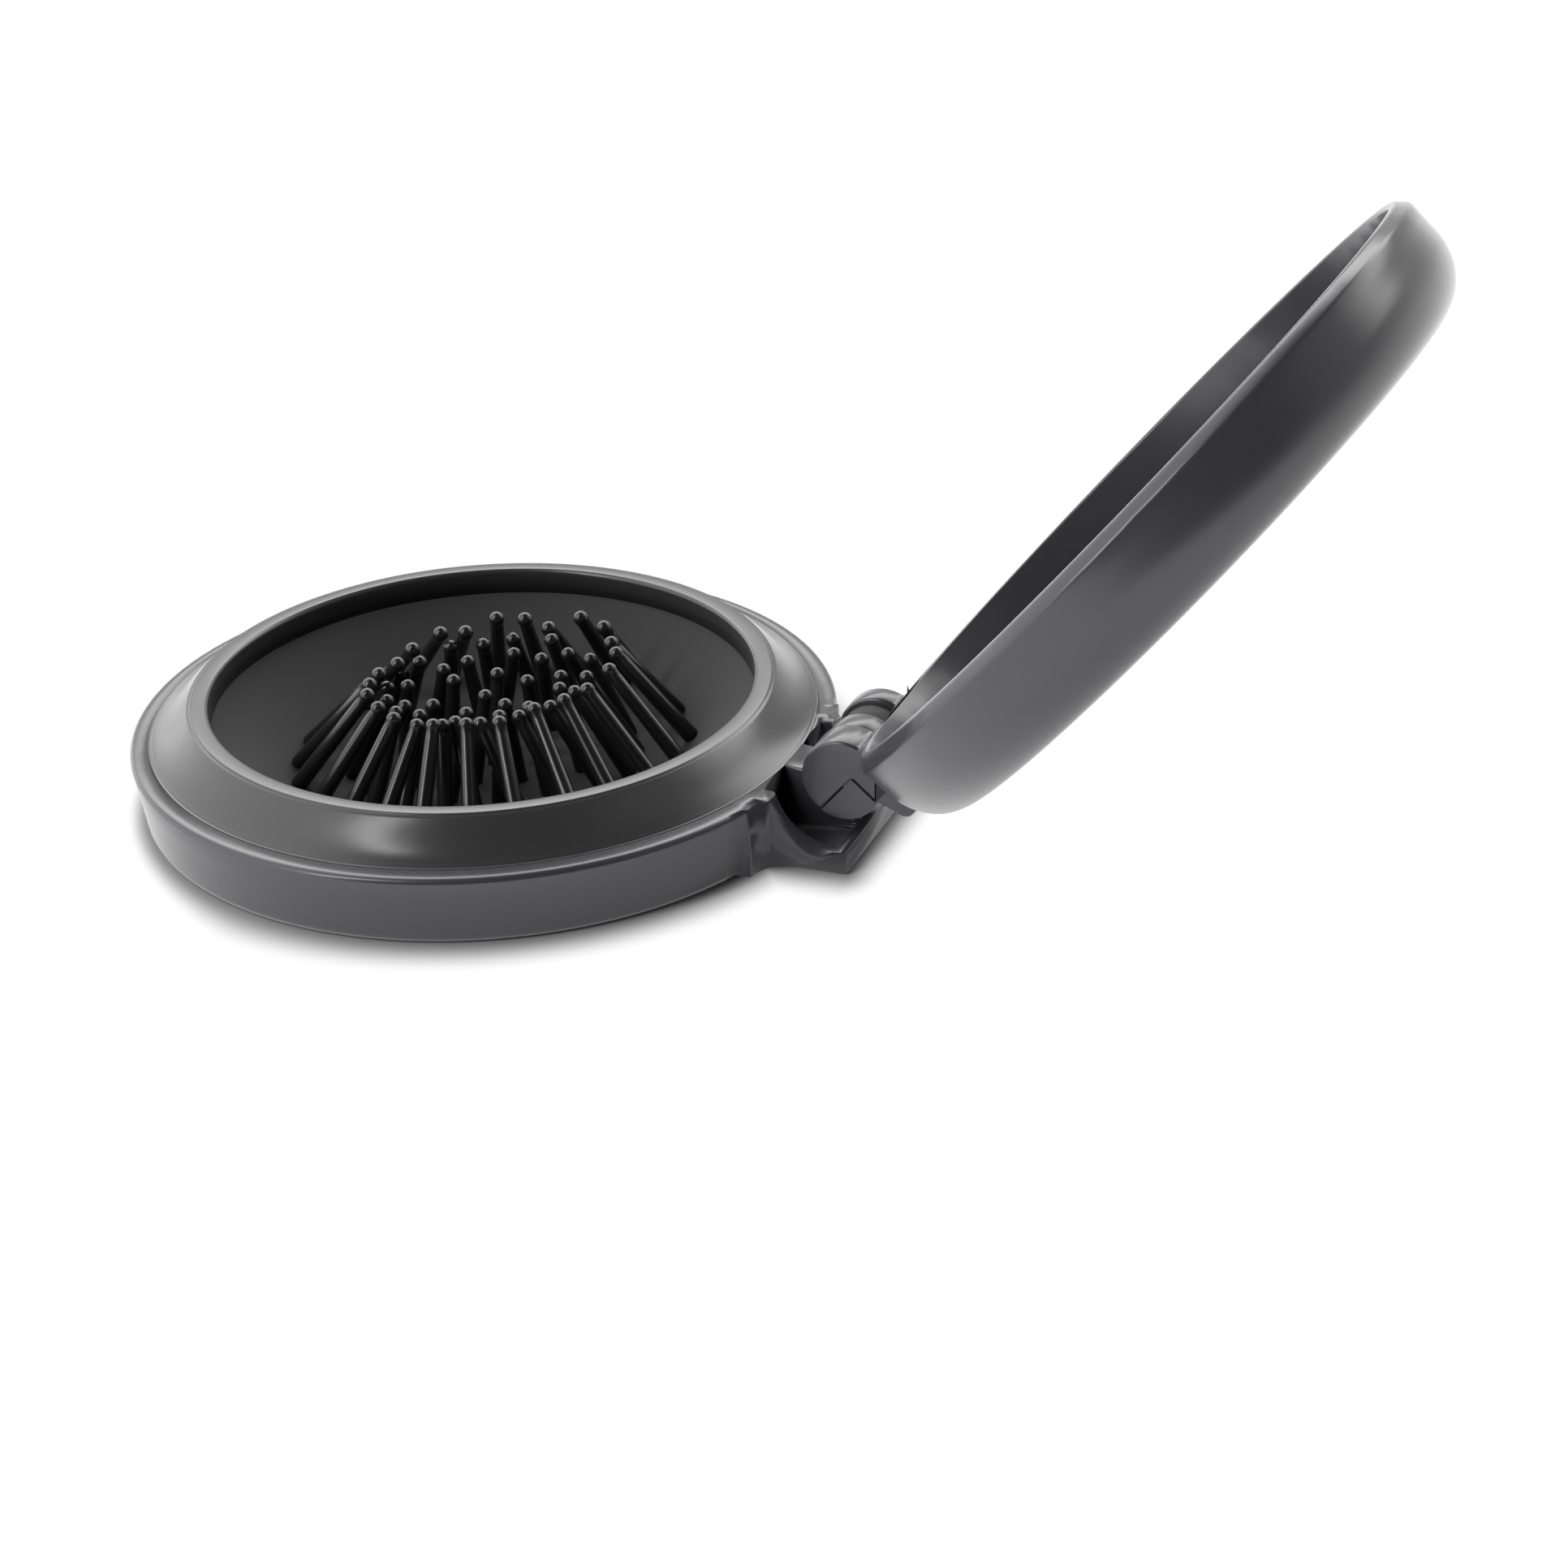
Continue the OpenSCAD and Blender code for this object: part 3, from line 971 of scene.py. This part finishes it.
@dataclass
class PinPad(SubAssembly):
    """Rubber pad with its pins and the plate under it."""

    body: Body = Body.PAD
    pad_z: float = 1.6
    tips_z: float = 11.2
    plate_top: float = 0.9
    root_z: float = 2.0
    pad_shift: float = 0.7
    inner_ring_r: float = 4.4
    second_ring_r: float = 8.7
    third_ring_r: float = 13.3
    outer_ring_r: float = 18.4
    root_r: float = 0.8
    neck_r: float = 0.625
    ball_r: float = 0.725
    sides: int = 32
    rubber_t: float = 0.7
    bead_top: float = 7.7
    bead_low: float = 6.4
    bead_r: float = 29.0
    mouth_r: float = 25.4
    slope: float = 38.0
    bend_end_r: float = 19.0

    def bend(self) -> tuple[float, float, float]:
        """The round between the pad's flat middle and its slope.

        Returns:
            The height that it ends at, its radius and the radius that it starts at.
        """
        run = math.tan(math.radians(self.slope))
        end_z = self.bead_top - (self.mouth_r - self.bend_end_r) * run
        round_r = (end_z - self.pad_z) / (1 - math.cos(math.radians(self.slope)))
        start_r = self.bend_end_r - round_r * math.sin(math.radians(self.slope))
        return end_z, round_r, start_r

    def pad_height(self, radius: float) -> float:
        """The rubber's upper face.

        Args:
            radius: the distance from the base's middle.

        Returns:
            The height there.
        """
        _, round_r, start_r = self.bend()
        if radius >= self.bend_end_r:
            run = math.tan(math.radians(self.slope))
            return self.bead_top - (self.mouth_r - radius) * run
        out = max(0.0, radius - start_r)
        return self.pad_z + round_r - math.sqrt(round_r**2 - out**2)

    def pin(
        self, ring_r: float, row: PinRow, root_z: float | None = None
    ) -> bpy.types.Mesh:
        """One pin, leaning from its root to its tip.

        Args:
            ring_r: the radius of its ring at the pad.
            row: its root's angle and its tip.
            root_z: the root's height, for a pin that is held by the rubber itself.

        Returns:
            The pin's mesh in place about the base's middle.
        """
        turn = math.radians(row[0])
        root = Vector(
            (self.pad_shift + ring_r * math.cos(turn), ring_r * math.sin(turn), 0)
        )
        tip = Vector((row[1], row[2], self.tips_z - row[3]))
        if root_z is None:
            run = (tip.xy - root.xy).length
            root.z = self.plate_top + self.root_r * run / (tip.z - self.plate_top)
            foot = [(0, 0), (self.root_r - 0.08, 0), (self.root_r, 0.08)]
        else:
            root.z = root_z
            foot = arc(0, 0, self.root_r, self.root_r, -90, 0, 6)
        way = tip - root
        shaft = [
            (self.root_r + (self.neck_r - self.root_r) * t, way.length * t)
            for t in [i / 10 for i in range(1, 10)]
        ]
        start = -math.degrees(math.acos(self.neck_r / self.ball_r))
        ball = arc(0, way.length, self.ball_r, self.ball_r, start, 90, 12)
        mesh = lathe("pin", [*foot, *shaft, *ball], self.sides)
        lean = Vector((0, 0, 1)).rotation_difference(way).to_matrix().to_4x4()
        mesh.transform(Matrix.Translation(root * MM) @ lean)
        return mesh

    def group(self, node: str, pins: Iterable[bpy.types.Mesh]) -> None:
        """A group of pins that stands for a node.

        Args:
            node: the node's name.
            pins: the pins' meshes.
        """
        piece = add_object(f"{node}_drawn", join_meshes(node, pins))
        piece.location = (-HINGE_OUT * MM, 0, 0)
        self.keep(piece, PIN, node)

    def rubber(self) -> None:
        """The diaphragm, which bends between the bezel and the plate."""
        end_z, bend, start_r = self.bend()
        below = self.rubber_t / math.cos(math.radians(self.slope))
        steps = 16
        flat = [(start_r * i / 24, self.pad_z) for i in range(24)]
        curve = arc(start_r, self.pad_z + bend, bend, bend, -90, self.slope - 90, 10)
        side = [
            (
                self.bend_end_r + (self.mouth_r - self.bend_end_r) * i / steps,
                end_z + (self.bead_top - end_z) * i / steps,
            )
            for i in range(1, steps + 1)
        ]
        under = [
            (self.bead_r, self.bead_top),
            (self.bead_r, self.bead_low),
            (self.mouth_r + 0.1, self.bead_low + 0.05),
            (self.bend_end_r, end_z - below),
            (start_r + 0.6, self.pad_z - self.rubber_t),
            (0, self.pad_z - self.rubber_t),
        ]
        mesh = lathe("rubber_pad", [*flat, *curve, *side, *under], 256)
        mesh.transform(Matrix.Translation((-HINGE_OUT * MM, 0, 0)))
        piece = add_object("rubber_pad", mesh)
        finish_mesh(mesh, RUBBER)
        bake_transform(piece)
        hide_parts("rubber_diaphragm")
        self.made.append(piece)

    def build(self) -> None:
        """Builds the pad, the plate and all pins."""
        self.rubber()
        self.round_edges("push_plate", INNER, 0.15, "thumb_plate")
        for node, ring_r, rows in (
            ("centre_pin", 0, CENTRE_PINS),
            ("inner_ring_pins", self.inner_ring_r, INNER_PINS),
            ("second_ring_pins", self.second_ring_r, SECOND_PINS),
        ):
            self.group(node, [self.pin(ring_r, row) for row in rows])
        for sector in range(5):
            rows = THIRD_PINS[4 * sector : 4 * sector + 4]
            pins = [self.pin(self.third_ring_r, row, self.root_z) for row in rows]
            self.group(f"third_ring_pins_{sector + 1}", pins)
        for sector in range(8):
            pins = []
            for row in OUTER_PINS[3 * sector : 3 * sector + 3]:
                turn = math.radians(row[0])
                out = Vector((self.pad_shift, 0)) + self.outer_ring_r * Vector(
                    (math.cos(turn), math.sin(turn))
                )
                pins.append(
                    self.pin(self.outer_ring_r, row, self.pad_height(out.length) + 0.4)
                )
            self.group(f"outer_ring_pins_{sector + 1}", pins)


@dataclass
class LidCase(SubAssembly):
    """Lid with its knuckles, hinge pin and mirror."""

    body: Body = Body.LID

    @staticmethod
    def corner(place: Vector) -> bool:
        """Whether an edge is where the lug runs into the lid's wall.

        Args:
            place: the edge's middle, in millimetres.

        Returns:
            True where the edge stays as it is.
        """
        return (place - Vector((3.5, math.copysign(7.0, place.y), 12.9))).length < 1.0

    def build(self) -> None:
        """Builds the lid and what it carries."""
        self.round_edges("lid_shell", CASE, 0.26, "lid_case", crisp=self.corner)
        self.round_edges("knuckle_caps", CASE, 0.045, "hinge_caps")
        self.round_edges("mirror_frame", BEZEL, 0.12, "mirror_bezel")
        self.round_edges("mirror_glass", MIRROR, 0.1, "mirror")
        self.dress("mirror_foam", FOAM)
        self.dress("hinge_pin", STEEL)


# ---- Studio ----


@dataclass
class Studio:
    """Floor, light and camera."""

    camera_place: Point = (115.063, -290.387, 163.169)
    camera_right: Point = (0.92831, 0.3692, -0.04389)
    camera_up: Point = (-0.13056, 0.43422, 0.89129)
    lens: float = 88.96
    floor_size: float = 6.0
    contact: float = 5.2
    contact_start: float = -0.06
    strip_place: Point = (-0.252, -0.36, 0.43)
    strip_target: Point = (-0.038, -0.005, 0.008)
    strip_size: tuple[float, float] = (0.06, 0.44)
    strip_power: float = 1.35
    box_level: float = 5.5
    low_level: float = 0.8
    left_level: float = 2.2
    right_level: float = 0.6
    skirt_level: float = 0.45

    def camera(self) -> None:
        """The camera of the photograph."""
        data = bpy.data.cameras.new("camera")
        data.lens = self.lens
        data.sensor_fit = "HORIZONTAL"
        data.sensor_width = 36.0
        data.clip_start = 0.01
        data.clip_end = 20.0
        camera = bpy.data.objects.new("camera", data)
        right, up = Vector(self.camera_right), Vector(self.camera_up)
        turn = Matrix((right, up, right.cross(up))).transposed().to_4x4()
        camera.matrix_world = (
            Matrix.Translation(Vector(self.camera_place) * MM) @ turn
        )
        bpy.context.scene.collection.objects.link(camera)
        bpy.context.scene.camera = camera

    def floor(self) -> None:
        """A pale floor that the camera sees white beyond a painted shadow near the base.

        The painted shadow is a darker diffuse, which also takes the real shade. How wide
        and how strong its band is comes from the distance to the base's outline, so it
        stays where it is at every pose.
        """
        half = self.floor_size / 2
        mesh = bpy.data.meshes.new("floor")
        corners = [(-half, -half, 0), (half, -half, 0), (half, half, 0), (-half, half, 0)]
        mesh.from_pydata(corners, [], [(0, 1, 2, 3)])
        floor = add_object("floor", mesh)
        floor.location.z = -0.00002
        made = bpy.data.materials.new("floor")
        made.use_nodes = True
        shader = Shader(made.node_tree)
        path = shader.node("ShaderNodeLightPath").socket.node
        seen = Sock(shader, path.outputs["Is Camera Ray"])
        x, y, _ = shader.axes(shader.place())
        # distance to the base's outline, which sets the painted shadow's band; the band is
        # narrower past the block's ends and on the left
        round_gap = ((x + HINGE_OUT * MM) ** 2 + y**2) ** 0.5 - 32.2 * MM
        over = ((x + 5 * MM).magnitude() - 6.15 * MM).at_least(0) * 1.4
        beside = (y.magnitude() - 8.3 * MM).at_least(0)
        block_gap = (over**2 + beside**2) ** 0.5
        side = ((x + HINGE_OUT * MM) * -30).step(0.2, 1.0)
        gap = round_gap.at_most(block_gap) * (side * 2 + 1)
        matte = shader.node("ShaderNodeBsdfDiffuse", {}, {"Color": (0.9, 0.9, 0.9, 1)})
        # painted shadow: a darker diffuse near the base, which also takes the real shade
        painted_shadow = shader.node("ShaderNodeBsdfDiffuse", {}, {"Color": (0.3, 0.3, 0.3, 1)})
        glow = shader.node("ShaderNodeEmission", {}, {"Strength": 0.5})
        white = shader.node("ShaderNodeEmission", {}, {"Strength": 1.0})
        mirrored = shader.node("ShaderNodeAddShader", {}, {0: matte, 1: glow})
        # 1 beyond the painted shadow's band, where the camera sees plain white
        lit = gap.step(self.contact * self.contact_start * MM, self.contact * MM)
        looked_at = shader.node("ShaderNodeMixShader", {}, {0: lit, 1: painted_shadow, 2: white})
        surface = shader.node(
            "ShaderNodeMixShader", {}, {0: seen, 1: mirrored, 2: looked_at}
        )
        shader.node("ShaderNodeOutputMaterial", {}, {"Surface": surface})
        mesh.materials.append(made)

    def world(self) -> None:
        """Soft boxes that light the object and show in it; the camera sees white."""
        world = bpy.data.worlds.new("room")
        bpy.context.scene.world = world
        world.use_nodes = True
        shader = Shader(world.node_tree)
        path = shader.node("ShaderNodeLightPath").socket.node
        seen = Sock(shader, path.outputs["Is Camera Ray"])
        where = shader.node("ShaderNodeTexCoord", output="Generated")
        x, y, z = shader.axes(where)
        box = y.step(0.3, 0.72) * z.step(0.4, 0.47) * (1 - z.step(0.64, 0.84))
        low = y.step(0.2, 0.8) * (1 - z.step(0.3, 0.47))
        left = (x * -1).step(0.2, 0.55) * (1 - y.step(0.45, 0.8))
        right = x.step(0.25, 0.8) * y.step(-0.4, 0.15)
        skirt = 1 - z.step(0.0, 0.3)
        sides = left * self.left_level + right * self.right_level
        room = box * self.box_level + low * self.low_level
        room = room + sides + skirt * self.skirt_level
        plain = shader.node("ShaderNodeBackground", {}, {"Color": (1, 1, 1, 1)})
        sheen = shader.node("ShaderNodeBackground", {}, {"Color": room})
        surface = shader.node("ShaderNodeMixShader", {}, {0: seen, 1: sheen, 2: plain})
        shader.node("ShaderNodeOutputWorld", {}, {"Surface": surface})

    @staticmethod
    def softbox(
        name: str, place: Point, target: Point, size: tuple[float, float], power: float
    ) -> None:
        """A rectangular lamp aimed at a point.

        Args:
            name: its name.
            place: where it stands, in metres.
            target: what it faces, in metres.
            size: its width and height, in metres.
            power: its power in watts.
        """
        data = bpy.data.lights.new(name, "AREA")
        data.shape = "RECTANGLE"
        data.size, data.size_y = size
        data.energy = power
        lamp = bpy.data.objects.new(name, data)
        lamp.location = place
        aim = Vector(target) - Vector(place)
        lamp.rotation_euler = aim.to_track_quat("-Z", "Y").to_euler()
        bpy.context.scene.collection.objects.link(lamp)

    def build(self) -> None:
        """Builds the set."""
        self.camera()
        self.floor()
        self.world()
        self.softbox(
            "strip_box",
            self.strip_place,
            self.strip_target,
            self.strip_size,
            self.strip_power,
        )
        bpy.context.scene.view_settings.view_transform = "Standard"


def main() -> None:
    """Builds the set and the object, and reports each piece."""
    logging.basicConfig(level=logging.INFO, format="%(name)s %(message)s")
    Studio().build()
    for part in (BaseCase(), Bezel(), PinPad(), LidCase()):
        part.build()
        part.report()


if __name__ == "__main__":
    main()
